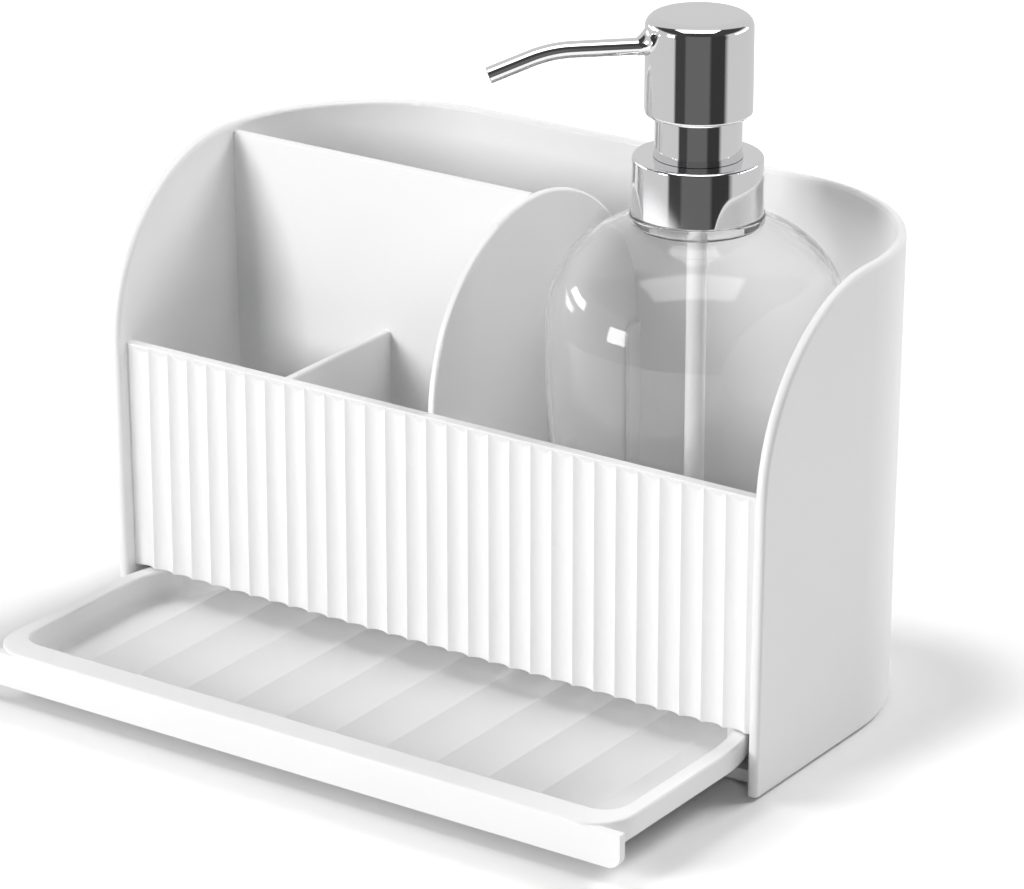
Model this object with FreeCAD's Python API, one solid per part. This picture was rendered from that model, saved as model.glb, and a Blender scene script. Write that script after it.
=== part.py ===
import FreeCAD, Part
import math
import os

from FreeCAD import Vector

# Soap pump caddy: a moulded U-shaped body with dividers and a fluted front panel, a drip tray that
# is drawn out at the front, and a clear bottle with a press pump. Millimetres. Up is +z, the front
# faces -y and +x is to the right as seen from the front. While it is modelled, y is zero at the
# front edges of the side walls; the finished pieces are moved so that y is zero at mid depth.

# Common values
overrun = 5.0               # how far a cut runs past the piece that it cuts
near = 0.001                # places closer than this are taken as one
half_share = 0.5            # share of a wall that a fused rib reaches into it

# Bottle and its bay
bottle_radius = 37.85       # at the belly
bottle_wall = 1.2
bottle_floor = 2.6
bottle_taper = 9.0          # the base is this much smaller than the belly, on the radius
bottle_base_round = 6.0
bottle_base_recess = 1.2    # hollow under the base
bottle_base_land = 7.0      # width of the ring that the bottle stands on
belly_height = 79.2         # base to belly
dome_height = 30.5          # belly to the point where the dome would close
dome_power = 2.39           # 2 would be an ellipse, more is squarer
dome_steps = 9
shoulder_radius = 16.2      # where the dome runs into the ring
neck_radius = 13.7
neck_wall = 1.8
ring_radius = 16.9          # clear ring under the collar
ring_height = 2.4
ring_round = 0.8
bay_left_gap = 11.77        # bottle to the partition
bay_right_gap = 10.63       # bottle to the side wall
bay_front_gap = 5.15
bay_back_gap = 10.4
bottle_seat_gap = 0.3       # bottle over the drain floor

# Body
wall = 2.85
left_room = 94.1            # clear width left of the partition
rim_height = 124.3          # table to rim
corner_radius = 50.0        # back corners, outside
sweep_radius = 48.0         # arc in which the side walls rise from the front
lean_share = 0.011          # the walls lean in towards the foot by this much of the height
rim_round = 1.2
stand_height = 1.0          # table to the walls' lower edge

# Base plate and feet
base_thickness = 3.2
base_setback = 6.5          # front edge behind the side walls' front edges
foot_radius = 5.0
foot_inset = 13.0           # centre of a foot from the edges of the base plate

# Drip tray
tray_pull = 58.4            # how far the tray is drawn out
tray_slide_gap = 0.3        # tray over the base plate
tray_gap = 1.0              # tray to the side and back walls
tray_height = 10.2
tray_floor = 1.9
tray_rim = 4.4              # width of the rim at the sides and back
tray_front_rim = 8.2        # width of the plain front rim
tray_front_corner = 11.0
tray_pocket_corner = 6.6
tray_cove = 3.6
tray_round = 0.6
tray_step = 3.4             # the underside is set in by this much
tray_step_height = 4.7
tray_under_round = 3.0
lip_thickness = 2.2         # plate along the tray's front
lip_cover = 1.7             # how far the plate's ends cover the side walls' front edges
lip_drop = 0.7              # plate's top edge below the rim
lip_rise = 0.5              # plate's lower edge over the tray's underside
lip_corner = 3.4
tray_ridges = 11
tray_ridge_pitch = 15.4
tray_channel_depth = 1.1    # the floor's channels below the ridges between them
tray_channel_low = 0.15     # deepest line of a channel over the pocket's floor

# Front panel and drain floor
panel_gap = 0.6             # panel and floor over the tray's rim
panel_setback = 3.7         # panel behind the side walls' front edges
panel_thickness = 2.6
panel_height = 62.0
panel_strip = 0.4           # plain strip above the flutes
flute_runout = 1.8          # height over which the flutes run out under the strip
flute_pitch = 6.29
flute_depth = 1.2
flute_margin = 0.75         # plain edge left of the first flute
floor_thickness = 2.2
slot_width = 3.0
slot_pitch = 12.0
slots_per_side = 6
slot_first = 18.0           # first slot from the middle
slot_length = 24.0
slot_margin = 9.0           # slot ends from the panel and from the cross wall

# Dividers
partition_thickness = 2.1
arch_radius = 46.4
front_cell_depth = 44.7     # panel to the cross wall
mid_thickness = 2.5
mid_drop = 2.15             # cross wall's top below the rim
left_cell_width = 48.15     # left wall to the low divider
low_thickness = 2.4
low_drop = 0.8              # low divider's top below the panel's top
divider_round = 0.7
guide_thickness = 1.5       # ribs on the back wall that hold the partition
guide_depth = 5.0
guide_round = 3.0
guide_gap = 0.4
guide_height = 58.2         # above the drain floor

# Screw collar
collar_gap = 0.4            # collar over the bottle's ring
collar_radius = 16.3
collar_height = 14.0
collar_skin = 0.6
collar_round = 0.8
insert_recess = 0.3         # insert's lower edge above the skin's
insert_web = 1.4
thread_gap = 0.3            # collar insert around the neck
turn_gap = 0.2              # collar insert over the pump's flange

# Pump chamber
flange_thickness = 0.9
flange_inset = 0.5          # flange smaller than the neck, on the radius
gasket_thickness = 0.8
gasket_gap = 0.1            # gasket over the neck's lip
chamber_radius = 6.6
chamber_wall = 2.0
chamber_height = 16.7
collar_bore_gap = 0.8       # collar insert around the chamber
seat_thickness = 2.5
nipple_recess = 0.4         # nipple's lower end above the collar's lower edge
nipple_depth = 3.0
nipple_wall = 1.9
inlet_radius = 1.4
seat_depth = 1.0
ball_radius = 1.9
ball_gap = 0.05
dip_radius = 2.5
dip_wall = 0.7
dip_end_gap = 2.5           # tube's lower end over the bottle's floor
dip_cut_angle = 30.0        # slanted lower end, degrees

# Plunger
stroke = 9.0
piston_fit = 0.08           # piston in the chamber
piston_height = 3.8
piston_gap = 0.2            # piston under the chamber's cap
piston_waist = 1.0
stem_radius = 3.4
stem_bore = 1.5
stem_gap = 0.3              # stem in the cap
stem_fit = 0.05             # stem in the head's hub
spring_radius = 5.3
spring_wire = 0.35
spring_turns = 5
spring_end_gap = 0.3
cap_thickness = 1.6
cap_skirt = 7.0

# Sleeve and head
sleeve_radius = 10.85
sleeve_wall = 0.85
sleeve_gap = 0.1            # sleeve's foot over the collar
sleeve_foot = 1.4
sleeve_foot_step = 0.3
sleeve_show = 10.8          # collar's top to the head's lower edge
head_radius = 13.4
head_height = 25.1
head_skin = 0.9
head_round = 3.0
head_lip = 1.0              # height of the turned-in lower edge
head_lip_gap = 0.55         # lower edge to the sleeve
head_edge_round = 1.0
hub_radius = 5.2
hub_disc = 3.0
hub_socket = 5.8
stop_gap = 0.4              # hub over the cap with the head pressed down
sleeve_clear = 1.0          # spout over the sleeve with the head pressed down
spout_radius = 2.1
spout_bore = 1.5
spout_drop = 7.4            # spout's axis below the top of the head
spout_start = 2.6           # inner end of the tube from the pump's axis
spout_straight = 31.4       # pump's axis to the start of the bend
spout_bend_radius = 30.4
spout_bend_angle = 20.0     # degrees
spout_end = 10.9            # straight end after the bend
spout_turn = 44.0           # from -x towards -y, degrees
flare_length = 2.0          # root of the spout, outside the head
flare_lip = 0.2             # its thin end over the tube
flare_waist = 0.7           # middle of the root wider than its thin end, on the radius
flare_spread = 2.1          # root at the head wider than its thin end, on the radius

# Heights, from the table up
base_top = stand_height + base_thickness
tray_low = base_top + tray_slide_gap
tray_top = tray_low + tray_height
panel_low = tray_top + panel_gap
panel_top = panel_low + panel_height
floor_top = panel_low + floor_thickness
sweep_height = rim_height - sweep_radius
arch_height = rim_height - mid_drop - arch_radius
bottle_low = floor_top + bottle_seat_gap
belly_level = bottle_low + belly_height
dome_angle = math.acos((shoulder_radius / bottle_radius) ** (dome_power / 2))
ring_low = belly_level + dome_height * math.sin(dome_angle) ** (2 / dome_power)
ring_top = ring_low + ring_height
collar_low = ring_top + collar_gap
collar_top = collar_low + collar_height
web_low = collar_top - collar_skin - insert_web
flange_top = web_low - turn_gap
flange_low = flange_top - flange_thickness
gasket_low = flange_low - gasket_thickness
neck_top = gasket_low - gasket_gap
nipple_low = collar_low + nipple_recess
nipple_top = nipple_low + nipple_depth
chamber_low = nipple_top + seat_thickness
chamber_top = chamber_low + chamber_height
cap_top = chamber_top + cap_thickness
piston_top = chamber_top - piston_gap
piston_low = piston_top - piston_height
head_low = collar_top + sleeve_show
head_top = head_low + head_height
spout_level = head_top - spout_drop
hub_low = cap_top + stroke + stop_gap
hub_top = head_top - head_skin
stem_top = hub_low + hub_socket
sleeve_low = collar_top + sleeve_gap
sleeve_top = spout_level - spout_radius - stroke - sleeve_clear

# Places in plan
bay_width = bay_left_gap + 2 * bottle_radius + bay_right_gap
body_width = 2 * wall + left_room + partition_thickness + bay_width
panel_rear = panel_setback + panel_thickness
body_depth = panel_rear + bay_front_gap + 2 * bottle_radius + bay_back_gap + wall
partition_left = wall + left_room - body_width / 2
partition_right = partition_left + partition_thickness
bottle_x = partition_right + bay_left_gap + bottle_radius
bottle_y = panel_rear + bay_front_gap + bottle_radius
mid_front = panel_rear + front_cell_depth
mid_rear = mid_front + mid_thickness
low_left = wall + left_cell_width - body_width / 2
middle_y = (body_depth - tray_pull) / 2


def line(a, b):
    return Part.LineSegment(a, b).toShape()


def arc(a, between, b):
    return Part.Arc(a, between, b).toShape()


def face_of(edges):
    return Part.Face(Part.Wire(Part.__sortEdges__(edges)))


def polygon(points):
    """Flat face through corner points."""
    return Part.Face(Part.makePolygon(points + points[:1]))


def box(low, high):
    size = high - low
    return Part.makeBox(size.x, size.y, size.z, low)


def disc(radius, low, high):
    """Cylinder on the pump's axis, from one height to another."""
    return Part.makeCylinder(radius, high - low, Vector(0, 0, low))


def tube(outer, inner, low, high):
    hole = disc(inner, low - overrun, high + overrun)
    return disc(outer, low, high).cut(hole)


def turned(profile):
    """Solid of revolution of a flat profile in the x-z plane about the z axis."""
    return profile.revolve(Vector(0, 0, 0), Vector(0, 0, 1), 360)


def ring_edges(shape, radius, level):
    """Full circles of a turned piece with this radius at this height."""
    found = []
    for edge in shape.Edges:
        curve = edge.Curve
        if not isinstance(curve, Part.Circle):
            continue
        if abs(curve.Radius - radius) < near and abs(curve.Center.z - level) < near:
            found.append(edge)
    return found


def on_pump_axis(shape):
    shape.translate(Vector(bottle_x, bottle_y, 0))
    return shape


def lean_at(level):
    """How far the walls have leaned in at a height."""
    return lean_share * (rim_height - level)


def inner_half_width(level):
    return body_width / 2 - wall - lean_at(level)


def body_outline(inset, front, level):
    """Closed plan of the body at a height, moved in by an inset, from a front line to the back."""
    shift = inset + lean_at(level)
    half = body_width / 2 - shift
    back = body_depth - shift
    radius = corner_radius - shift
    cx = half - radius
    cy = back - radius
    slant = radius * math.sqrt(half_share)
    edges = [
        line(Vector(-half, front, level), Vector(-half, cy, level)),
        arc(Vector(-half, cy, level), Vector(-cx - slant, cy + slant, level), Vector(-cx, back, level)),
        line(Vector(-cx, back, level), Vector(cx, back, level)),
        arc(Vector(cx, back, level), Vector(cx + slant, cy + slant, level), Vector(half, cy, level)),
        line(Vector(half, cy, level), Vector(half, front, level)),
        line(Vector(half, front, level), Vector(-half, front, level)),
    ]
    return Part.Wire(edges)


def body_block(inset, front, low, high):
    """Leaning block that fills the body's plan between two heights."""
    return Part.makeLoft([body_outline(inset, front, low), body_outline(inset, front, high)], True, True)


def body_room():
    """The whole space inside the walls."""
    return body_block(wall, -overrun, stand_height - overrun, rim_height + overrun)


def sweep_cutter():
    """What the rising arc takes off the front of the side walls."""
    reach = body_width / 2 + overrun
    start = Vector(-reach, 0, sweep_height)
    slant = sweep_radius * (1 - math.sqrt(half_share))
    bend = Vector(-reach, slant, rim_height - slant)
    end = Vector(-reach, sweep_radius, rim_height)
    above = Vector(-reach, sweep_radius, rim_height + overrun)
    corner = Vector(-reach, -overrun, rim_height + overrun)
    before = Vector(-reach, -overrun, sweep_height)
    edges = [arc(start, bend, end), line(end, above), line(above, corner), line(corner, before),
             line(before, start)]
    return face_of(edges).extrude(Vector(2 * reach, 0, 0))


def rim_edges(shape):
    """Both long edges of the rim, from the front edges up the arc and round the back."""
    strip = []
    for face in shape.Faces:
        box_of = face.BoundBox
        on_front = abs(box_of.YMax) < near
        on_top = abs(box_of.ZMin - rim_height) < near
        on_arc = isinstance(face.Surface, Part.Cylinder) and abs(face.Surface.Axis.x) > math.sqrt(half_share)
        if on_front or on_top or on_arc:
            strip.append(face)
    edges = []
    for face in strip:
        for edge in face.Edges:
            shared = [other for other in strip if not other.isSame(face)
                      and any(edge.isSame(side) for side in other.Edges)]
            low = edge.BoundBox.ZMax < stand_height + wall * half_share
            if not shared and not low:
                edges.append(edge)
    return edges


def guide_rib(left):
    """Rib on the back wall beside the partition, rounded at its top front corner."""
    back = body_depth - wall * half_share
    front = body_depth - wall - guide_depth - lean_at(floor_top)
    top = floor_top + guide_height
    slant = guide_round * (1 - math.sqrt(half_share))
    a = Vector(left, front, floor_top)
    b = Vector(left, front, top - guide_round)
    c = Vector(left, front + slant, top - slant)
    d = Vector(left, front + guide_round, top)
    e = Vector(left, back, top)
    f = Vector(left, back, floor_top)
    edges = [line(a, b), arc(b, c, d), line(d, e), line(e, f), line(f, a)]
    rib = face_of(edges).extrude(Vector(guide_thickness, 0, 0))
    return rib.common(body_block(wall * half_share, 0, floor_top, top))


def shell():
    """Side and back walls in one U, with an arc rising from each front edge and a rounded rim."""
    body = body_block(0, 0, stand_height, rim_height).cut(body_room())
    body = body.cut(sweep_cutter())
    body = body.makeFillet(rim_round, rim_edges(body))
    body = body.fuse(guide_rib(partition_right + guide_gap))
    return body.fuse(guide_rib(partition_left - guide_gap - guide_thickness))


def base_plate():
    return body_block(wall, base_setback, stand_height, base_top)


def feet():
    """Four soft pads under the base plate."""
    side = inner_half_width(stand_height) - foot_inset
    corner_x = body_width / 2 - corner_radius
    back = body_depth - wall - lean_at(stand_height) - foot_inset
    front = base_setback + foot_inset
    places = [(-side, front), (side, front), (-corner_x, back), (corner_x, back)]
    pads = [Part.makeCylinder(foot_radius, stand_height, Vector(x, y, 0)) for x, y in places]
    return Part.makeCompound(pads)


def tray_outline(half, front, back, front_radius, back_radius, level):
    """Closed plan with one radius at the front corners and another at the back corners."""
    front_slant = front_radius * (1 - math.sqrt(half_share))
    back_slant = back_radius * (1 - math.sqrt(half_share))
    edges = []
    for side in (-1, 1):
        outer = side * half
        front_x = side * (half - front_radius)
        back_x = side * (half - back_radius)
        edges.append(arc(Vector(front_x, front, level),
                         Vector(outer - side * front_slant, front + front_slant, level),
                         Vector(outer, front + front_radius, level)))
        edges.append(line(Vector(outer, front + front_radius, level),
                          Vector(outer, back - back_radius, level)))
        edges.append(arc(Vector(outer, back - back_radius, level),
                         Vector(outer - side * back_slant, back - back_slant, level),
                         Vector(back_x, back, level)))
    front_x = half - front_radius
    back_x = half - back_radius
    edges.append(line(Vector(-front_x, front, level), Vector(front_x, front, level)))
    edges.append(line(Vector(-back_x, back, level), Vector(back_x, back, level)))
    return face_of(edges)


def tray_block(inset, front_inset, front_radius, low, high):
    """Upright block in the tray's plan, moved in by an inset at the sides and back."""
    half = inner_half_width(tray_low) - tray_gap - inset
    back = body_depth - wall - lean_at(tray_low) - tray_gap - tray_pull - inset
    back_radius = corner_radius - wall - lean_at(tray_low) - tray_gap - inset
    plan = tray_outline(half, front_inset - tray_pull, back, front_radius, back_radius, low)
    return plan.extrude(Vector(0, 0, high - low))


def level_edges(shape, level):
    """Edges that lie flat at one height."""
    return [edge for edge in shape.Edges
            if abs(edge.BoundBox.ZMin - level) < near and abs(edge.BoundBox.ZMax - level) < near]


def tray_lip():
    """Plate along the tray's front, square at its upper ends and rounded at its lower ones."""
    half = inner_half_width(tray_low) + lip_cover
    front = -tray_pull
    low = tray_low + lip_rise
    top = tray_top - lip_drop
    plate = box(Vector(-half, front, low), Vector(half, front + lip_thickness, top))
    ends = [edge for edge in plate.Edges
            if abs(edge.BoundBox.ZMax - low) < near and edge.BoundBox.XLength < near]
    return plate.makeFillet(lip_corner, ends)


def tray_channels(floor):
    """Wide shallow channels along the tray's floor that meet in ridges."""
    low = floor + tray_channel_low
    crest = low + tray_channel_depth
    reach = tray_ridge_pitch * (tray_ridges + 1) / 2
    edges = []
    for n in range(tray_ridges + 1):
        x = n * tray_ridge_pitch - reach
        edges.append(arc(Vector(x, -tray_pull, crest), Vector(x + tray_ridge_pitch / 2, -tray_pull, low),
                         Vector(x + tray_ridge_pitch, -tray_pull, crest)))
    edges.append(line(Vector(reach, -tray_pull, crest), Vector(reach, -tray_pull, tray_low)))
    edges.append(line(Vector(reach, -tray_pull, tray_low), Vector(-reach, -tray_pull, tray_low)))
    edges.append(line(Vector(-reach, -tray_pull, tray_low), Vector(-reach, -tray_pull, crest)))
    return face_of(edges).extrude(Vector(0, body_depth, 0))


def drip_tray():
    """Shallow tray with a coved and channelled pocket, a set-in underside and a plate along its front."""
    step_top = tray_low + tray_step_height
    upper = tray_block(0, 0, tray_front_corner, step_top, tray_top)
    lower = tray_block(tray_step, tray_step, tray_front_corner - tray_step, tray_low, step_top)
    lower = lower.makeFillet(tray_under_round, level_edges(lower, tray_low))
    body = upper.fuse(lower).fuse(tray_lip()).removeSplitter()
    floor = tray_low + tray_floor
    pocket = tray_block(tray_rim, tray_front_rim, tray_pocket_corner, floor, tray_top + overrun)
    pocket = pocket.makeFillet(tray_cove, level_edges(pocket, floor))
    body = body.cut(pocket)
    body = body.makeFillet(tray_round, level_edges(body, tray_top))
    return body.fuse(tray_channels(floor).common(pocket))


def fluted_plan(left, right, level):
    """Plan of the panel: a straight rear and a front of hollow flutes that meet in sharp edges."""
    edges = []
    x = left + flute_margin
    edges.append(line(Vector(left, panel_setback, level), Vector(x, panel_setback, level)))
    while x < right:
        edges.append(arc(Vector(x, panel_setback, level),
                         Vector(x + flute_pitch / 2, panel_setback + flute_depth, level),
                         Vector(x + flute_pitch, panel_setback, level)))
        x += flute_pitch
    edges.append(line(Vector(x, panel_setback, level), Vector(x, panel_rear, level)))
    edges.append(line(Vector(x, panel_rear, level), Vector(left, panel_rear, level)))
    edges.append(line(Vector(left, panel_rear, level), Vector(left, panel_setback, level)))
    return face_of(edges)


def panel_brow(half):
    """Plain strip along the panel's top, with a slanted underside in which the flutes run out."""
    left = -half - overrun
    strip_low = panel_top - panel_strip
    slant_low = strip_low - flute_runout
    corners = [Vector(left, panel_setback, panel_top), Vector(left, panel_rear, panel_top),
               Vector(left, panel_rear, slant_low), Vector(left, panel_setback + flute_depth, slant_low),
               Vector(left, panel_setback, strip_low)]
    return polygon(corners).extrude(Vector(2 * (half + overrun), 0, 0))


def front_panel():
    half = inner_half_width(panel_top)
    fluted = fluted_plan(-half, half, panel_low).extrude(Vector(0, 0, panel_height - panel_strip))
    panel = fluted.fuse(panel_brow(half))
    return panel.common(body_room()).removeSplitter()


def slot(x, front):
    """Upright cutter for one long drain slot with round ends."""
    low = panel_low - overrun
    height = floor_thickness + 2 * overrun
    radius = slot_width / 2
    start = front + radius
    end = front + slot_length - radius
    cutter = box(Vector(x - radius, start, low), Vector(x + radius, end, low + height))
    for y in (start, end):
        cutter = cutter.fuse(Part.makeCylinder(radius, height, Vector(x, y, low)))
    return cutter


def drain_floor():
    """Floor of the cells and the bottle bay, with rows of slots in front of and behind the cross wall."""
    floor = body_block(wall, panel_rear, panel_low, floor_top)
    cutters = []
    for n in range(slots_per_side):
        x = slot_first + n * slot_pitch
        for side in (-1, 1):
            cutters.append(slot(side * x, panel_rear + slot_margin))
            cutters.append(slot(side * x, mid_rear + slot_margin))
    return floor.cut(Part.makeCompound(cutters))


def top_edges(shape, level):
    """Long upper edges of an upright plate."""
    return [edge for edge in level_edges(shape, level) if edge.Length > wall + mid_thickness]


def mid_divider():
    top = rim_height - mid_drop
    plate = box(Vector(-body_width / 2, mid_front, floor_top), Vector(partition_left, mid_rear, top))
    plate = plate.makeFillet(divider_round, top_edges(plate, top))
    return plate.common(body_room())


def low_divider():
    top = panel_top - low_drop
    plate = box(Vector(low_left, panel_rear, floor_top), Vector(low_left + low_thickness, mid_front, top))
    return plate.makeFillet(divider_round, top_edges(plate, top))


def bay_partition():
    """Upright plate with an arched top that is level with the cross wall."""
    middle = panel_rear + arch_radius
    low = box(Vector(partition_left, panel_rear, floor_top), Vector(partition_right, body_depth, arch_height))
    arch = Part.makeCylinder(arch_radius, partition_thickness, Vector(partition_left, middle, arch_height),
                             Vector(1, 0, 0))
    plate = low.fuse(arch).removeSplitter()
    above = box(Vector(partition_left - overrun, panel_rear - overrun, floor_top),
                Vector(partition_right + overrun, body_depth + overrun, rim_height + overrun))
    plate = plate.common(above)
    rims = [edge for edge in plate.Edges
            if isinstance(edge.Curve, Part.Circle) and edge.BoundBox.ZMax > arch_height + wall]
    return plate.makeFillet(divider_round, rims).common(body_room())


def dome_curve(radius, height):
    """Curve of the bottle's dome from the belly up to the neck, in the x-z plane."""
    points = []
    for n in range(dome_steps + 1):
        angle = dome_angle * n / dome_steps
        r = radius * math.cos(angle) ** (2 / dome_power)
        z = belly_level + height * math.sin(angle) ** (2 / dome_power)
        points.append(Vector(r, 0, z))
    curve = Part.BSplineCurve()
    curve.interpolate(points)
    return curve.toShape(), points[-1]


def bottle_profile(radius, height, low, neck, top):
    """Half section of the bottle's outside or inside, from its axis to its skin."""
    dome, shoulder = dome_curve(radius, height)
    belly = Vector(radius, 0, belly_level)
    foot = Vector(radius - bottle_taper, 0, low)
    waist = Vector(radius - bottle_taper * half_share ** 2, 0, (belly_level + low) / 2)
    neck_foot = Vector(neck, 0, shoulder.z)
    neck_end = Vector(neck, 0, top)
    axis_top = Vector(0, 0, top)
    axis_low = Vector(0, 0, low)
    edges = [line(axis_low, foot), arc(foot, waist, belly), dome, line(shoulder, neck_foot),
             line(neck_foot, neck_end), line(neck_end, axis_top), line(axis_top, axis_low)]
    return face_of(edges)


def bottle():
    """Clear bottle: tapered body, domed shoulder, ring and plain neck, hollow throughout."""
    outside = turned(bottle_profile(bottle_radius, dome_height, bottle_low, neck_radius, neck_top))
    base_radius = bottle_radius - bottle_taper
    outside = outside.makeFillet(bottle_base_round, ring_edges(outside, base_radius, bottle_low))
    ring = disc(ring_radius, ring_low, ring_top)
    rims = ring_edges(ring, ring_radius, ring_low) + ring_edges(ring, ring_radius, ring_top)
    ring = ring.makeFillet(ring_round, rims)
    outside = outside.fuse(ring)
    inner_low = bottle_low + bottle_floor
    inside = turned(bottle_profile(bottle_radius - bottle_wall, dome_height - bottle_wall, inner_low,
                                   neck_radius - neck_wall, neck_top + overrun))
    inside = inside.makeFillet(bottle_base_round - bottle_wall,
                               ring_edges(inside, base_radius - bottle_wall, inner_low))
    recess = disc(base_radius - bottle_base_land, bottle_low, bottle_low + bottle_base_recess)
    return on_pump_axis(outside.cut(inside).cut(recess))


def collar_shell():
    """Thin metal skin over the screw collar, open below and with a hole for the chamber above."""
    skin = disc(collar_radius, collar_low, collar_top)
    skin = skin.makeFillet(collar_round, ring_edges(skin, collar_radius, collar_top))
    hollow = disc(collar_radius - collar_skin, collar_low - overrun, collar_top - collar_skin)
    hole = disc(chamber_radius + chamber_wall + collar_bore_gap, collar_low, collar_top + overrun)
    return on_pump_axis(skin.cut(hollow).cut(hole))


def collar_insert():
    """Closure inside the skin: a threaded skirt around the neck and a web over the pump's flange."""
    low = collar_low + insert_recess
    body = disc(collar_radius - collar_skin, low, collar_top - collar_skin)
    body = body.cut(disc(neck_radius + thread_gap, low - overrun, web_low))
    hole = disc(chamber_radius + chamber_wall + collar_bore_gap, low, collar_top)
    return on_pump_axis(body.cut(hole))


def neck_gasket():
    outer = neck_radius - flange_inset
    return on_pump_axis(tube(outer, chamber_radius + chamber_wall, gasket_low, flange_low))


def pump_cylinder():
    """Chamber with a flange under the collar, a ball seat in its foot and a nipple for the dip tube."""
    outer = chamber_radius + chamber_wall
    body = disc(outer, nipple_top, chamber_top)
    body = body.fuse(disc(neck_radius - flange_inset, flange_low, flange_top))
    body = body.fuse(disc(dip_radius + nipple_wall, nipple_low, nipple_top))
    body = body.cut(disc(chamber_radius, chamber_low, chamber_top + overrun))
    body = body.cut(disc(dip_radius, nipple_low - overrun, nipple_top))
    body = body.cut(disc(inlet_radius, nipple_low, chamber_low + overrun))
    seat = Part.makeCone(inlet_radius, inlet_radius + seat_depth, seat_depth,
                         Vector(0, 0, chamber_low - seat_depth))
    return on_pump_axis(body.cut(seat))


def inlet_ball():
    """Check ball that rests in the chamber's conical seat."""
    apex = chamber_low - seat_depth - inlet_radius
    centre = apex + (ball_radius + ball_gap) / math.sqrt(half_share)
    return on_pump_axis(Part.makeSphere(ball_radius, Vector(0, 0, centre)))


def dip_tube():
    """Tube from the nipple down to just over the bottle's floor, cut at a slant below."""
    low = bottle_low + bottle_floor + dip_end_gap
    body = tube(dip_radius, dip_radius - dip_wall, low, nipple_top)
    rise = 2 * dip_radius * math.tan(math.radians(dip_cut_angle))
    side = dip_radius + overrun
    slope = rise * side / dip_radius
    a = Vector(-side, -side, low + rise / 2 - slope / 2)
    b = Vector(side, -side, low + rise / 2 + slope / 2)
    c = Vector(side, -side, low - slope)
    d = Vector(-side, -side, low - slope)
    return on_pump_axis(body.cut(polygon([a, b, c, d]).extrude(Vector(0, 2 * side, 0))))


def cylinder_cap():
    """Cap that closes the chamber, guides the stem and carries the sleeve."""
    outer = sleeve_radius - sleeve_wall
    body = disc(outer, chamber_top - cap_skirt, cap_top)
    body = body.cut(disc(chamber_radius + chamber_wall, chamber_top - cap_skirt - overrun, chamber_top))
    return on_pump_axis(body.cut(disc(stem_radius + stem_gap, chamber_top - overrun, cap_top + overrun)))


def sleeve():
    """Metal tube that the head slides over, with a step ring at its foot."""
    body = disc(sleeve_radius, sleeve_low, sleeve_top)
    body = body.fuse(disc(sleeve_radius + sleeve_foot_step, sleeve_low, sleeve_low + sleeve_foot))
    bore = disc(sleeve_radius - sleeve_wall, sleeve_low - overrun, sleeve_top + overrun)
    return on_pump_axis(body.cut(bore))


def tangent_arc(start, control, end):
    """Arc between two points whose end tangents meet in a control point."""
    weight = (end - start).Length / 2 / (control - start).Length
    middle = (start + control * (2 * weight) + end) / (2 + 2 * weight)
    return arc(start, middle, end)


def biarc(start, leave, end, arrive):
    """Two tangent arcs from one point and direction to another."""
    chord = end - start
    spread = 2 * (1 - leave.dot(arrive))
    along = chord.dot(leave + arrive)
    reach = (math.sqrt(along ** 2 + spread * chord.dot(chord)) - along) / spread
    first = start + leave * reach
    second = end - arrive * reach
    joint = (first + second) / 2
    return [tangent_arc(start, first, joint), tangent_arc(joint, second, end)]


def return_spring():
    """Coil between the chamber's floor and the piston, in quarter turns."""
    low = chamber_low + spring_wire + spring_end_gap
    rise = piston_low - spring_wire - spring_end_gap - low
    quarters = 4 * spring_turns
    places = []
    for n in range(quarters + 1):
        angle = n * math.pi / 2
        place = Vector(spring_radius * math.cos(angle), spring_radius * math.sin(angle),
                       low + rise * n / quarters)
        heading = Vector(-math.sin(angle), math.cos(angle), rise / (quarters * math.pi / 2 * spring_radius))
        places.append((place, heading.normalize()))
    edges = []
    for (start, leave), (end, arrive) in zip(places, places[1:]):
        edges += biarc(start, leave, end, arrive)
    start, leave = places[0]
    section = Part.Wire(Part.makeCircle(spring_wire, start, leave))
    return on_pump_axis(Part.Wire(edges).makePipeShell([section], True, False))


def piston():
    """Ring with two sealing lips and a waist between them."""
    outer = chamber_radius - piston_fit
    body = tube(outer, stem_radius, piston_low, piston_top)
    third = piston_height / 3
    groove = tube(outer + overrun, outer - piston_waist, piston_low + third, piston_top - third)
    return on_pump_axis(body.cut(groove))


def stem():
    return on_pump_axis(tube(stem_radius, stem_bore, piston_low, stem_top))


def along_spout(shape):
    """Turns a piece that lies along +x at zero height to the spout's direction and height."""
    shape.rotate(Vector(0, 0, 0), Vector(0, 0, 1), 180 + spout_turn)
    shape.translate(Vector(0, 0, spout_level))
    return shape


def spout_flare():
    """Root that joins the spout to the head: level below, and sweeping up to the head's shoulder above."""
    inner = head_radius - head_skin
    outer = head_radius + flare_length
    thin = spout_radius + flare_lip
    sections = []
    for place, spread in ((inner, flare_spread), ((inner + outer) / 2, flare_waist), (outer, 0)):
        circle = Part.makeCircle(thin + spread, Vector(place, 0, spread), Vector(1, 0, 0))
        sections.append(Part.Wire(circle))
    return along_spout(Part.makeLoft(sections, True, False))


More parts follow.
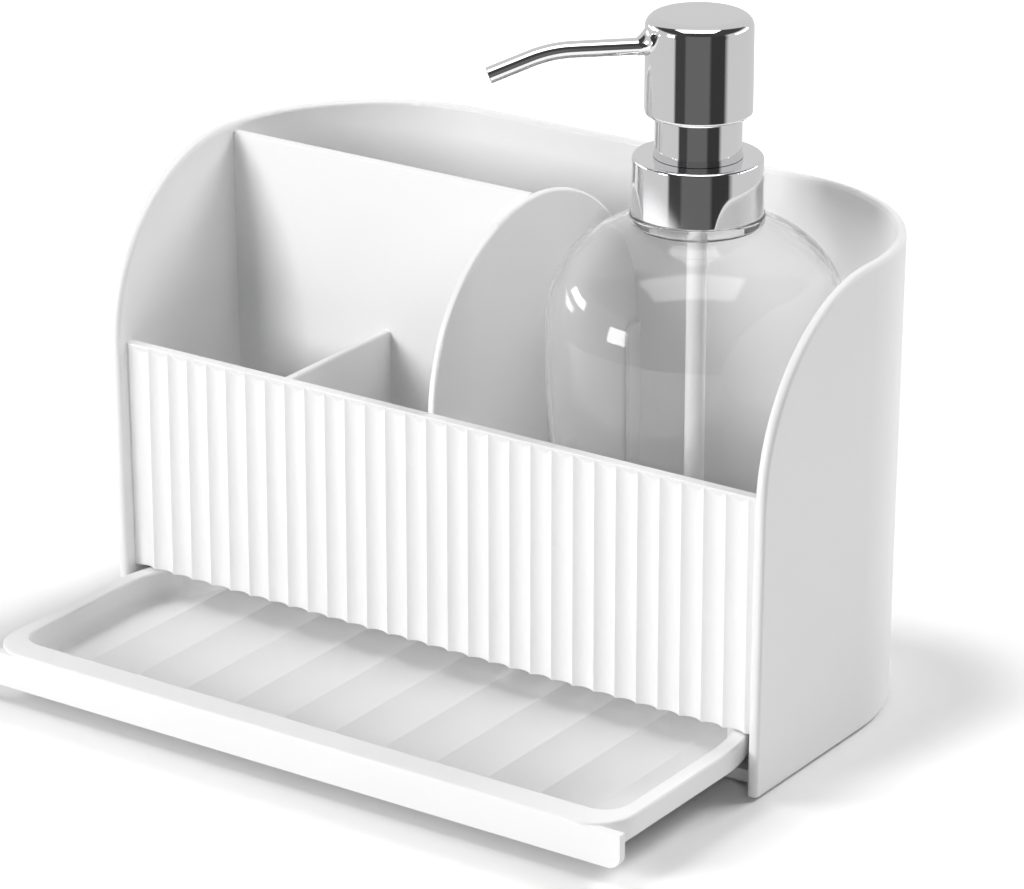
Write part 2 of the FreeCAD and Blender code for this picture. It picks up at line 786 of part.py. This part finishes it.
def spout_rod(radius, start):
    """Solid rod along the spout's path: straight, one bend down, straight."""
    angle = math.radians(spout_bend_angle)
    bend_end = Vector(spout_straight + spout_bend_radius * math.sin(angle), 0,
                      -spout_bend_radius * (1 - math.cos(angle)))
    bend_mid = Vector(spout_straight + spout_bend_radius * math.sin(angle / 2), 0,
                      -spout_bend_radius * (1 - math.cos(angle / 2)))
    tip = bend_end + Vector(spout_end * math.cos(angle), 0, -spout_end * math.sin(angle))
    bend_start = Vector(spout_straight, 0, 0)
    path = Part.Wire([line(Vector(start, 0, 0), bend_start), arc(bend_start, bend_mid, bend_end),
                      line(bend_end, tip)])
    section = Part.Wire(Part.makeCircle(radius, Vector(start, 0, 0), Vector(1, 0, 0)))
    return path.makePipeShell([section], True, False)


def spout_tube():
    body = spout_rod(spout_radius, spout_start).cut(spout_rod(spout_bore, spout_start))
    return on_pump_axis(along_spout(body))


def spout_hole(start, end):
    hole = Part.makeCylinder(spout_radius, end - start, Vector(start, 0, 0), Vector(1, 0, 0))
    return along_spout(hole)


def head_shell():
    """Metal cap of the head with a rounded top, a turned-in lower edge and the spout's flared root."""
    cap = disc(head_radius, head_low, head_top)
    cap = cap.makeFillet(head_round, ring_edges(cap, head_radius, head_top))
    cap = cap.makeFillet(head_edge_round, ring_edges(cap, head_radius, head_low))
    hollow = disc(head_radius - head_skin, head_low + head_lip, head_top - head_skin)
    hollow = hollow.makeFillet(head_round - head_skin,
                               ring_edges(hollow, head_radius - head_skin, head_top - head_skin))
    mouth = disc(sleeve_radius + head_lip_gap, head_low - overrun, head_low + head_lip)
    body = cap.fuse(spout_flare()).cut(hollow).cut(mouth)
    return on_pump_axis(body.cut(spout_hole(0, head_radius + flare_length + overrun)))


def head_core():
    """Hub that takes the stem from below and the spout from the side, under a disc below the cap's top."""
    disc_radius = head_radius - head_round
    body = disc(hub_radius, hub_low, hub_top).fuse(disc(disc_radius, hub_top - hub_disc, hub_top))
    body = body.cut(disc(stem_radius + stem_fit, hub_low - overrun, stem_top + stem_fit))
    body = body.cut(disc(stem_bore, hub_low, spout_level))
    body = body.cut(spout_hole(spout_start, hub_radius + overrun))
    return on_pump_axis(body.cut(along_spout(Part.makeCylinder(stem_bore, spout_start, Vector(0, 0, 0),
                                                               Vector(1, 0, 0)))))


pieces = {
    "shell": shell,
    "base_plate": base_plate,
    "feet": feet,
    "drain_floor": drain_floor,
    "front_panel": front_panel,
    "mid_divider": mid_divider,
    "bay_partition": bay_partition,
    "low_divider": low_divider,
    "drip_tray": drip_tray,
    "bottle": bottle,
    "neck_gasket": neck_gasket,
    "collar_shell": collar_shell,
    "collar_insert": collar_insert,
    "pump_cylinder": pump_cylinder,
    "inlet_ball": inlet_ball,
    "dip_tube": dip_tube,
    "cylinder_cap": cylinder_cap,
    "sleeve": sleeve,
    "return_spring": return_spring,
    "piston": piston,
    "stem": stem,
    "head_shell": head_shell,
    "head_core": head_core,
    "spout_tube": spout_tube,
}

os.makedirs("parts", exist_ok=True)
for name, make in pieces.items():
    piece = make()
    piece.translate(Vector(0, -middle_y, 0))
    piece.exportStep("parts/" + name + ".step")
    bounds = piece.BoundBox
    print(name, "solids", len(piece.Solids), "valid", piece.isValid(), "volume", round(piece.Volume, 1),
          "x", round(bounds.XMin, 2), round(bounds.XMax, 2),
          "y", round(bounds.YMin, 2), round(bounds.YMax, 2),
          "z", round(bounds.ZMin, 2), round(bounds.ZMax, 2))
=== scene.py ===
import math

import bpy
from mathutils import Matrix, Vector


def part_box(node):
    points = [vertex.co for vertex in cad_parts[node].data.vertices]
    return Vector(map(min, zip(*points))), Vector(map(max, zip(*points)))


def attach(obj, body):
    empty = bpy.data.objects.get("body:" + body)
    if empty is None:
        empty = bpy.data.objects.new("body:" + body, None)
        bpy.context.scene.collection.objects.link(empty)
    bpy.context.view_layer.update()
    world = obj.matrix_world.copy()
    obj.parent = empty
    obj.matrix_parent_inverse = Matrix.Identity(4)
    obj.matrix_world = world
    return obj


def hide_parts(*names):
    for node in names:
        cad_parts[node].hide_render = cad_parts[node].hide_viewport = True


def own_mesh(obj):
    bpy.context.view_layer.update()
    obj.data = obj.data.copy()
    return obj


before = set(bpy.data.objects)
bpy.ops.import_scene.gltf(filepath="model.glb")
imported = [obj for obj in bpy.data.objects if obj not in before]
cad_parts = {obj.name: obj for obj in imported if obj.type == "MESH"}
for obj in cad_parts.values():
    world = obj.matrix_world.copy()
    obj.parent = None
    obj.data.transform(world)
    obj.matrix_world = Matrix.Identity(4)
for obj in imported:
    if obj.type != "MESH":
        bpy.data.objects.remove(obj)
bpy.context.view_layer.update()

bl_info = {
    "name": "Soap pump caddy",
    "version": (1, 0, 0),
    "blender": (4, 5, 0),
    "location": "View3D > Sidebar > Caddy",
    "description": "Finishes a sink caddy with a pump bottle and sets it in a small studio",
    "category": "Object",
}

MOULDED_NODES = ("shell", "base_plate", "drain_floor", "front_panel", "mid_divider", "bay_partition",
                 "low_divider", "drip_tray")
CHROME_NODES = ("collar_shell", "sleeve", "head_shell", "spout_tube")
PUMP_NODES = ("collar_insert", "pump_cylinder", "cylinder_cap", "stem", "piston", "head_core")

WIRE_SIDES = 12
STEPS_PER_TURN = 32

SENSOR_WIDTH = 36.0  # millimetres
# Lamps: degrees to the right of the front, degrees up, metres away, metres wide
KEY_LAMP = (-60.0, 57.5, 1.4, 0.5)
FRONT_LAMP = (-20.0, 17.5, 1.5, 0.45)
SIDE_LAMP = (49.0, 28.0, 1.5, 0.3)
RIGHT_BACK_LAMP = (150.0, 45.0, 1.5, 0.8)

# Floor: metres from the shadow's box between which each painted glow comes in
NEAR_GLOW_RISE = (0.022, 0.05)
FAR_GLOW_RISE = (0.12, 0.60)
TABLE_EDGE = 0.06  # softness of the table's edge, as a share of its reach

# The room that mirrors see. Azimuths are degrees to the camera's right, elevations are degrees up.
# Band along the horizon: azimuth and brightness
LOW_ROOM = ((-180, 0.72), (-57, 0.70), (-52, 0.06), (-33, 0.06), (-29, 0.15), (18, 0.15), (24, 0.045),
            (52, 0.045), (62, 0.70), (180, 0.72))
LOW_ROOM_TOP = (20, 26)  # elevations between which the band gives way to the room above it
# Dark hood over the camera: how its rim leans, where the rim lies, and azimuths where it ends on the right
HOOD_LEAN = 0.83
HOOD_RIM = (-0.88, -0.72)
HOOD_END = (115, 140)
# Bright windows: two azimuths, two elevations, brightness
WINDOWS = ((-71.5, -56.5, -3, 10.5, 16.0), (-124, -102, 9, 15, 10.0), (-138, -112, 1, 5, 5.0),
           (78, 122, 7, 14, 6.0))
WINDOW_SIDE_BLUR = 0.6
WINDOW_SILL_BLUR = 0.5
# Softbox overhead: edges to the camera's right and towards it, in shares of its height, and brightness
SOFTBOX = (-0.63, 0.49, 0.0, 0.59, 3.6)
SOFTBOX_BLUR = 0.05
SOFTBOX_LOWEST = 0.05  # upward share of a direction under which the softbox is out of sight


class CaddyFinish(bpy.types.PropertyGroup):
    """Colours and surface values of the caddy's materials, and the spring's wire."""

    white: bpy.props.FloatVectorProperty(
        name="White plastic", description="Colour of the moulded body, dividers and tray",
        subtype="COLOR", size=3, min=0, max=1, default=(0.93, 0.93, 0.93))
    white_roughness: bpy.props.FloatProperty(
        name="White roughness", description="Roughness of the satin moulded surface",
        subtype="FACTOR", min=0, max=1, default=0.42)
    chrome: bpy.props.FloatVectorProperty(
        name="Chrome", description="Colour of the plated pump parts",
        subtype="COLOR", size=3, min=0, max=1, default=(0.80, 0.80, 0.81))
    chrome_roughness: bpy.props.FloatProperty(
        name="Chrome roughness", description="Roughness of the plating",
        subtype="FACTOR", min=0, max=1, default=0.035)
    clear: bpy.props.FloatVectorProperty(
        name="Clear plastic", description="Tint of the bottle's wall",
        subtype="COLOR", size=3, min=0, max=1, default=(0.992, 0.992, 0.992))
    clear_shadow: bpy.props.FloatProperty(
        name="Light through the bottle", description="Share of the light that passes the bottle's wall",
        subtype="FACTOR", min=0, max=1, default=0.98)
    tube: bpy.props.FloatVectorProperty(
        name="Dip tube", description="Colour of the milky dip tube",
        subtype="COLOR", size=3, min=0, max=1, default=(0.97, 0.97, 0.97))
    pump: bpy.props.FloatVectorProperty(
        name="Pump plastic", description="Colour of the pump's inner parts",
        subtype="COLOR", size=3, min=0, max=1, default=(0.84, 0.84, 0.83))
    pump_roughness: bpy.props.FloatProperty(
        name="Pump roughness", description="Roughness of the pump's inner parts",
        subtype="FACTOR", min=0, max=1, default=0.45)
    rubber: bpy.props.FloatVectorProperty(
        name="Feet", description="Colour of the soft feet and of the gasket",
        subtype="COLOR", size=3, min=0, max=1, default=(0.42, 0.42, 0.42))
    steel: bpy.props.FloatVectorProperty(
        name="Steel", description="Colour of the spring and the ball",
        subtype="COLOR", size=3, min=0, max=1, default=(0.62, 0.62, 0.63))
    spring_wire: bpy.props.FloatProperty(
        name="Spring wire", description="Radius of the return spring's wire", unit="LENGTH", default=0.00035)
    spring_turns: bpy.props.IntProperty(
        name="Spring turns", description="Number of turns of the return spring", min=1, default=5)


class CaddyStage(bpy.types.PropertyGroup):
    """Camera, floor and lights."""

    azimuth: bpy.props.FloatProperty(
        name="Azimuth", description="Camera's turn to the right of the front",
        unit="ROTATION", default=math.radians(34.356))
    elevation: bpy.props.FloatProperty(
        name="Elevation", description="Camera's height as an angle over the horizon",
        unit="ROTATION", default=math.radians(20.424))
    distance: bpy.props.FloatProperty(
        name="Distance", description="Camera to the point that it turns about",
        unit="LENGTH", default=1.22225)
    target: bpy.props.FloatVectorProperty(
        name="Target", description="Point that the camera turns about",
        subtype="TRANSLATION", size=3, default=(0.0, 0.026, 0.076))
    lens: bpy.props.FloatProperty(
        name="Lens", description="Focal length in millimetres on a 36 mm wide sensor", default=168.28)
    shift: bpy.props.FloatVectorProperty(
        name="Shift", description="Offset of the frame from the camera's axis, in frame widths",
        size=2, default=(-0.01676, -0.07034))
    floor_size: bpy.props.FloatProperty(
        name="Floor", description="Side of the square floor", unit="LENGTH", default=8.0)
    floor: bpy.props.FloatVectorProperty(
        name="Floor colour", description="Colour of the pale floor",
        subtype="COLOR", size=3, min=0, max=1, default=(0.88, 0.88, 0.88))
    shadow_centre: bpy.props.FloatVectorProperty(
        name="Shadow", description="Middle of the soft shadow on the floor",
        subtype="TRANSLATION", size=3, default=(0.0, 0.005, 0.0))
    shadow_half: bpy.props.FloatVectorProperty(
        name="Shadow half", description="Half of the box on the floor round which the soft shadow lies",
        subtype="TRANSLATION", size=3, default=(0.085, 0.05, 0.0))
    near_glow: bpy.props.FloatProperty(
        name="Near glow", description="Glow of the floor round the soft shadow", default=0.32)
    far_glow: bpy.props.FloatProperty(
        name="Far glow", description="Added glow of the floor where it runs out to white", default=0.5)
    table_reach: bpy.props.FloatProperty(
        name="Table", description="Edge of the lit table as mirrors see it", unit="LENGTH", default=0.36)
    room_light: bpy.props.FloatProperty(
        name="Room light", description="Brightness of the white backdrop that mirrors see", default=0.72)
    room_dark: bpy.props.FloatProperty(
        name="Room dark", description="Brightness of the dark room in front that mirrors see", default=0.06)
    fill: bpy.props.FloatProperty(
        name="Fill", description="Strength of the even light from all round", default=0.0)
    key_power: bpy.props.FloatProperty(
        name="Key light", description="Power of the light high on the left", unit="POWER", default=6.6)
    front_power: bpy.props.FloatProperty(
        name="Front light", description="Power of the low light in front", unit="POWER", default=13.2)
    side_power: bpy.props.FloatProperty(
        name="Side light", description="Power of the small light on the right", unit="POWER", default=2.0)
    right_back_power: bpy.props.FloatProperty(
        name="Right back light", description="Power of the light behind on the right",
        unit="POWER", default=17.6)


class Value:
    """A number socket of a shader that takes part in Python sums."""

    def __init__(self, shade, socket):
        self.shade = shade
        self.socket = socket

    def maths(self, operation, first, second):
        return self.shade.value("ShaderNodeMath", {"operation": operation}, {0: first, 1: second})

    def __add__(self, other):
        return self.maths("ADD", self, other)

    __radd__ = __add__

    def __sub__(self, other):
        return self.maths("SUBTRACT", self, other)

    def __rsub__(self, other):
        return self.maths("SUBTRACT", other, self)

    def __mul__(self, other):
        return self.maths("MULTIPLY", self, other)

    __rmul__ = __mul__

    def __truediv__(self, other):
        return self.maths("DIVIDE", self, other)

    def __rtruediv__(self, other):
        return self.maths("DIVIDE", other, self)

    def __gt__(self, other):
        return self.maths("GREATER_THAN", self, other)

    def __lt__(self, other):
        return self.maths("LESS_THAN", self, other)

    def rise(self, low, high):
        """Soft step from 0 at one value to 1 at another."""
        step = {"Value": self, "From Min": low, "From Max": high}
        return self.shade.value("ShaderNodeMapRange", {"interpolation_type": "SMOOTHSTEP"}, step)

    def within(self, low, high, soft):
        """1 between two values and 0 outside them, with soft edges."""
        return self.rise(low - soft, low + soft) * (1 - self.rise(high - soft, high + soft))


class Shade:
    """The node tree of a material or a world, filled through one node-making method."""

    def __init__(self, owner):
        self.owner = owner
        owner.use_nodes = True
        self.tree = owner.node_tree
        self.tree.nodes.clear()

    def node(self, kind, settings=None, inputs=None):
        node = self.tree.nodes.new(kind)
        for name, setting in (settings or {}).items():
            if name == "stops":
                self.set_stops(node.color_ramp, setting)
            else:
                setattr(node, name, setting)
        for name, given in (inputs or {}).items():
            if isinstance(given, Value):
                given = given.socket
            if isinstance(given, bpy.types.NodeSocket):
                self.tree.links.new(given, node.inputs[name])
            else:
                node.inputs[name].default_value = given
        return node

    @staticmethod
    def set_stops(ramp, stops):
        while len(ramp.elements) < len(stops):
            ramp.elements.new(1.0)
        for element, (place, level) in zip(ramp.elements, stops):
            element.position = place
            element.color = (level, level, level, 1.0)

    def value(self, kind, settings=None, inputs=None, output=0):
        return Value(self, self.node(kind, settings, inputs).outputs[output])

    def vector(self, operation, first, second=(0, 0, 0)):
        return self.node("ShaderNodeVectorMath", {"operation": operation}, {0: first, 1: second}).outputs[0]

    def measure(self, operation, first, second=(0, 0, 0)):
        """Length of a vector, or its dot product with another."""
        return self.value("ShaderNodeVectorMath", {"operation": operation}, {0: first, 1: second}, "Value")

    def place(self, space="Object"):
        return self.node("ShaderNodeTexCoord").outputs[space]

    def noise(self, scale, detail):
        """Noise in object space, in features per metre."""
        given = {"Vector": self.place(), "Scale": scale, "Detail": detail}
        return self.value("ShaderNodeTexNoise", None, given)

    def rays(self, *kinds):
        """1 for light paths of these kinds and 0 for others."""
        path = self.node("ShaderNodeLightPath")
        first, *others = [Value(self, path.outputs[kind]) for kind in kinds]
        return sum(others, first)

    def tones(self, factor, colour, low, high):
        """The colour made darker and lighter by two shares, and mixed between them."""
        mix = self.node("ShaderNodeMix", {"data_type": "RGBA"},
                        {0: factor, 6: toned(colour, low), 7: toned(colour, high)})
        return mix.outputs[2]

    def relief(self, height, strength, depth):
        bump = self.node("ShaderNodeBump", None, {"Strength": strength, "Distance": depth, "Height": height})
        return bump.outputs["Normal"]

    def shader(self, kind, inputs):
        return self.node(kind, None, inputs).outputs[0]

    def skin(self, inputs):
        return self.shader("ShaderNodeBsdfPrincipled", inputs)

    def mix(self, factor, first, second):
        return self.shader("ShaderNodeMixShader", {0: factor, 1: first, 2: second})

    def surface(self, shader):
        """Ends the tree in a shader and gives its material."""
        self.node("ShaderNodeOutputMaterial", None, {"Surface": shader})
        return self.owner


def toned(colour, share):
    """An opaque colour made lighter or darker by a share."""
    return (*(min(channel * share, 1.0) for channel in colour), 1.0)


def satin_plastic(name, colour, roughness):
    """Moulded plastic: a fine spark-eroded grain and faint clouds in tone and gloss."""
    shade = Shade(bpy.data.materials.new(name))
    cloud = shade.noise(scale=24.0, detail=3.0)
    grain = shade.noise(scale=2400.0, detail=2.0)
    gloss_swing = 0.06
    return shade.surface(shade.skin({
        "Base Color": shade.tones(cloud, colour, low=0.985, high=1.01),
        "Roughness": roughness + (cloud - 0.5) * gloss_swing,
        "Normal": shade.relief(grain, strength=0.10, depth=0.00003),
        "IOR": 1.5,
    }))


def chrome_plate(name, colour, roughness):
    """Bright plating with a trace of wiping marks in its gloss."""
    shade = Shade(bpy.data.materials.new(name))
    haze = shade.noise(scale=60.0, detail=4.0)
    wiped = 0.02
    return shade.surface(shade.skin({
        "Base Color": shade.tones(haze, colour, low=0.99, high=1.01),
        "Metallic": 1.0,
        "Roughness": roughness + haze * wiped,
    }))


def clear_plastic(name, colour, passed):
    """Clear wall that lets most of the light through to what stands behind it."""
    shade = Shade(bpy.data.materials.new(name))
    haze = shade.noise(scale=40.0, detail=3.0)
    dulled = 0.012
    wall = shade.skin({
        "Base Color": shade.tones(haze, colour, low=0.995, high=1.0),
        "Roughness": haze * dulled,
        "IOR": 1.36,
        "Transmission Weight": 0.94,
    })
    open_air = shade.shader("ShaderNodeBsdfTransparent", {"Color": (*colour, 1.0)})
    passing = shade.rays("Is Shadow Ray", "Is Diffuse Ray")
    return shade.surface(shade.mix(passing * passed, wall, open_air))


def milky_plastic(name, colour):
    """Translucent tube wall."""
    shade = Shade(bpy.data.materials.new(name))
    cloud = shade.noise(scale=120.0, detail=2.0)
    smooth, dulled = 0.32, 0.06
    return shade.surface(shade.skin({
        "Base Color": shade.tones(cloud, colour, low=0.98, high=1.0),
        "Roughness": smooth + cloud * dulled,
        "IOR": 1.5,
        "Transmission Weight": 0.1,
    }))


def soft_rubber(name, colour):
    """Matt rubber with a fine grain in tone and relief."""
    shade = Shade(bpy.data.materials.new(name))
    grain = shade.noise(scale=1800.0, detail=2.0)
    matt, dulled = 0.72, 0.12
    return shade.surface(shade.skin({
        "Base Color": shade.tones(grain, colour, low=0.92, high=1.06),
        "Roughness": matt + grain * dulled,
        "Normal": shade.relief(grain, strength=0.3, depth=0.00006),
    }))


def drawn_steel(name, colour):
    """Steel wire with uneven gloss from the drawing die."""
    shade = Shade(bpy.data.materials.new(name))
    draw = shade.noise(scale=900.0, detail=3.0)
    bright, dulled = 0.18, 0.14
    return shade.surface(shade.skin({
        "Base Color": shade.tones(draw, colour, low=0.93, high=1.05),
        "Metallic": 1.0,
        "Roughness": bright + draw * dulled,
    }))


def dress(names, material):
    """Gives CAD nodes one material in place of their plain one."""
    for name in names:
        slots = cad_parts[name].data.materials
        slots.clear()
        slots.append(material)


class CADDY_OT_dress_body(bpy.types.Operator):
    """Finishes the moulded body, the dividers, the tray, the feet and the gasket"""

    bl_idname = "caddy.dress_body"
    bl_label = "Body, dividers and tray"

    def execute(self, context):
        finish = context.scene.caddy_finish
        dress(MOULDED_NODES, satin_plastic("satin white", finish.white, finish.white_roughness))
        dress(("feet", "neck_gasket"), soft_rubber("soft rubber", finish.rubber))
        return {"FINISHED"}


class CADDY_OT_dress_bottle(bpy.types.Operator):
    """Finishes the clear bottle and its dip tube"""

    bl_idname = "caddy.dress_bottle"
    bl_label = "Bottle and dip tube"

    def execute(self, context):
        finish = context.scene.caddy_finish
        dress(("bottle",), clear_plastic("clear bottle wall", finish.clear, finish.clear_shadow))
        dress(("dip_tube",), milky_plastic("milky tube", finish.tube))
        return {"FINISHED"}


def return_coil(wire, turns):
    """The pump's spring as one smooth coil in the chamber."""
    low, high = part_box("return_spring")
    middle = (low + high) / 2
    reach = (high.x - low.x) / 2 - wire
    bpy.ops.object.select_all(action="DESELECT")
    bpy.ops.mesh.primitive_circle_add(vertices=WIRE_SIDES, radius=wire, location=(reach, 0, 0),
                                      rotation=(math.pi / 2, 0, 0))
    bpy.ops.object.transform_apply(location=True, rotation=True, scale=True)
    coil = bpy.context.active_object
    coil.name = "return_coil"
    bpy.ops.object.modifier_add(type="SCREW")
    screw = coil.modifiers[-1]
    screw.angle = 2 * math.pi * turns
    screw.screw_offset = high.z - low.z - 2 * wire
    screw.steps = screw.render_steps = STEPS_PER_TURN * turns
    bpy.ops.object.modifier_apply(modifier=screw.name)
    bpy.ops.object.mode_set(mode="EDIT")
    bpy.ops.mesh.select_all(action="SELECT")
    bpy.ops.mesh.fill_holes(sides=WIRE_SIDES)
    bpy.ops.mesh.normals_make_consistent(inside=False)
    bpy.ops.object.mode_set(mode="OBJECT")
    coil.location = (middle.x, middle.y, low.z + wire)
    bpy.ops.object.transform_apply(location=True, rotation=True, scale=True)
    bpy.ops.object.shade_smooth()
    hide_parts("return_spring")
    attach(coil, "pump_body")
    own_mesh(coil)
    return coil


class CADDY_OT_dress_pump(bpy.types.Operator):
    """Finishes the plated skins of the pump and the parts inside it, and winds its spring"""

    bl_idname = "caddy.dress_pump"
    bl_label = "Pump"

    def execute(self, context):
        finish = context.scene.caddy_finish
        dress(CHROME_NODES, chrome_plate("bright chrome", finish.chrome, finish.chrome_roughness))
        dress(PUMP_NODES, satin_plastic("pump plastic", finish.pump, finish.pump_roughness))
        steel = drawn_steel("drawn steel", finish.steel)
        dress(("inlet_ball",), steel)
        return_coil(finish.spring_wire, finish.spring_turns).data.materials.append(steel)
        return {"FINISHED"}


def aim(place, target):
    """Turn that points an object's -Z axis from a place to a target, with its Y axis up."""
    return (Vector(target) - Vector(place)).to_track_quat("-Z", "Y").to_euler()


def polar(target, azimuth, elevation, distance):
    """Place at an azimuth to the right of the front and an elevation from a target."""
    flat = math.cos(elevation)
    away = Vector((math.sin(azimuth) * flat, -math.cos(azimuth) * flat, math.sin(elevation)))
    return Vector(target) + away * distance


def soft_light(name, target, lamp_place, power):
    """Square lamp for matt surfaces; mirrors see the room's own windows in its place."""
    azimuth, elevation, distance, size = lamp_place
    lamp = bpy.data.lights.new(name, "AREA")
    lamp.shape = "SQUARE"
    lamp.size = size
    lamp.energy = power
    light = bpy.data.objects.new(name, lamp)
    light.location = polar(target, math.radians(azimuth), math.radians(elevation), distance)
    light.rotation_euler = aim(light.location, target)
    light.visible_glossy = False
    light.visible_transmission = False
    bpy.context.collection.objects.link(light)


def floor_finish(stage):
    """Pale floor with a painted glow that is left out round the caddy, where the lamps' soft shadow lies; it
    runs out to white, and ends for mirrors at the table's edge.
    """
    shade = Shade(bpy.data.materials.new("studio floor"))
    mirrored = shade.rays("Is Glossy Ray", "Is Transmission Ray")
    seen = shade.rays("Is Camera Ray") + mirrored
    place = shade.place()
    aside = shade.vector("ABSOLUTE", shade.vector("SUBTRACT", place, stage.shadow_centre))
    outside = shade.vector("MAXIMUM", shade.vector("SUBTRACT", aside, stage.shadow_half))
    spread = shade.measure("LENGTH", outside)
    level = spread.rise(*NEAR_GLOW_RISE) * stage.near_glow + spread.rise(*FAR_GLOW_RISE) * stage.far_glow
    ground = shade.shader("ShaderNodeBsdfDiffuse", {"Color": (*stage.floor, 1.0)})
    # Painted glow on the floor: emission for camera and mirrors, left out near the caddy so that the shadow
    # there stays darker
    glow = shade.shader("ShaderNodeEmission", {"Color": level * seen})
    table = shade.shader("ShaderNodeAddShader", {0: ground, 1: glow})
    past = shade.shader("ShaderNodeBsdfTransparent", {})
    reach = shade.measure("LENGTH", place)
    edge = mirrored * reach.rise(stage.table_reach * (1 - TABLE_EDGE), stage.table_reach * (1 + TABLE_EDGE))
    return shade.surface(shade.mix(edge, table, past))


def studio_floor(stage):
    bpy.ops.mesh.primitive_plane_add(size=stage.floor_size)
    floor = bpy.context.active_object
    floor.name = "studio_floor"
    floor.data.materials.append(floor_finish(stage))


def share_of_turn(degrees):
    """Where an azimuth from -180 to 180 degrees lies on a ramp from 0 to 1."""
    return (degrees + 180) / 360


def mirrored_room(shade, stage):
    """Brightness of the room by direction, as the chrome and the bottle mirror it."""
    heading = shade.place("Generated")
    turn = stage.azimuth
    axes = ((math.cos(turn), math.sin(turn), 0.0), (math.sin(turn), -math.cos(turn), 0.0), (0.0, 0.0, 1.0))
    side, front, up = [shade.measure("DOT_PRODUCT", heading, axis) for axis in axes]
    azimuth = side.maths("ARCTAN2", side, front) * math.degrees(1)
    elevation = up.maths("ARCSINE", up, 0.0) * math.degrees(1)
    stops = [(share_of_turn(angle), level) for angle, level in LOW_ROOM]
    low = shade.value("ShaderNodeValToRGB", {"stops": stops}, {"Fac": share_of_turn(azimuth)})
    hood = (front - up * HOOD_LEAN).rise(*HOOD_RIM) * (1 - azimuth.rise(*HOOD_END))
    high = stage.room_light + hood * (stage.room_dark - stage.room_light)
    upper = elevation.rise(*LOW_ROOM_TOP)
    room = low * (1 - upper) + high * upper
    for left, right, under, over, level in WINDOWS:
        across = azimuth.within(left, right, WINDOW_SIDE_BLUR)
        room = room + across * elevation.within(under, over, WINDOW_SILL_BLUR) * level
    left, right, rear, fore, level = SOFTBOX
    above = up.maths("MAXIMUM", up, SOFTBOX_LOWEST)
    across = (side / above).within(left, right, SOFTBOX_BLUR)
    overhead = across * (front / above).within(rear, fore, SOFTBOX_BLUR)
    return room + overhead * (up > SOFTBOX_LOWEST) * level


def studio_world(stage):
    """White to the camera, an even fill to matt surfaces, and a room with dark zones to mirrors."""
    world = bpy.data.worlds.new("studio")
    bpy.context.scene.world = world
    shade = Shade(world)
    white = (1, 1, 1, 1)
    backdrop = shade.shader("ShaderNodeBackground", {"Color": white, "Strength": 1.0})
    fill = shade.shader("ShaderNodeBackground", {"Color": white, "Strength": stage.fill})
    room = shade.shader("ShaderNodeBackground", {"Color": mirrored_room(shade, stage), "Strength": 1.0})
    lit = shade.mix(shade.rays("Is Glossy Ray", "Is Transmission Ray"), fill, room)
    both = shade.mix(shade.rays("Is Camera Ray"), lit, backdrop)
    shade.node("ShaderNodeOutputWorld", None, {"Surface": both})


def studio_camera(stage):
    lens = bpy.data.cameras.new("camera")
    lens.sensor_width = SENSOR_WIDTH
    lens.lens = stage.lens
    lens.shift_x, lens.shift_y = stage.shift
    camera = bpy.data.objects.new("camera", lens)
    camera.location = polar(stage.target, stage.azimuth, stage.elevation, stage.distance)
    camera.rotation_euler = aim(camera.location, stage.target)
    bpy.context.collection.objects.link(camera)
    bpy.context.scene.camera = camera


class CADDY_OT_build_stage(bpy.types.Operator):
    """Sets up the floor, the lights and the camera"""

    bl_idname = "caddy.build_stage"
    bl_label = "Stage"

    def execute(self, context):
        stage = context.scene.caddy_stage
        bpy.ops.object.select_all(action="DESELECT")
        studio_floor(stage)
        studio_world(stage)
        soft_light("key_light", stage.target, KEY_LAMP, stage.key_power)
        soft_light("front_light", stage.target, FRONT_LAMP, stage.front_power)
        soft_light("side_light", stage.target, SIDE_LAMP, stage.side_power)
        soft_light("right_back_light", stage.target, RIGHT_BACK_LAMP, stage.right_back_power)
        studio_camera(stage)
        context.scene.view_settings.view_transform = "Standard"
        return {"FINISHED"}


class CADDY_PT_sidebar(bpy.types.Panel):
    """Lists the caddy's steps and values"""

    bl_label = "Soap pump caddy"
    bl_idname = "CADDY_PT_sidebar"
    bl_space_type = "VIEW_3D"
    bl_region_type = "UI"
    bl_category = "Caddy"

    def draw(self, context):
        layout = self.layout
        for step in STEPS:
            layout.operator(step.bl_idname)
        for group in (context.scene.caddy_finish, context.scene.caddy_stage):
            column = layout.column()
            for name in group.__annotations__:
                column.prop(group, name)


STEPS = (CADDY_OT_dress_body, CADDY_OT_dress_bottle, CADDY_OT_dress_pump, CADDY_OT_build_stage)
CLASSES = (CaddyFinish, CaddyStage, *STEPS, CADDY_PT_sidebar)


def register():
    for item in CLASSES:
        bpy.utils.register_class(item)
    bpy.types.Scene.caddy_finish = bpy.props.PointerProperty(type=CaddyFinish)
    bpy.types.Scene.caddy_stage = bpy.props.PointerProperty(type=CaddyStage)


def unregister():
    del bpy.types.Scene.caddy_stage
    del bpy.types.Scene.caddy_finish
    for item in reversed(CLASSES):
        bpy.utils.unregister_class(item)


def main():
    register()
    bpy.ops.caddy.dress_body()
    bpy.ops.caddy.dress_bottle()
    bpy.ops.caddy.dress_pump()
    bpy.ops.caddy.build_stage()


if __name__ == "__main__":
    main()
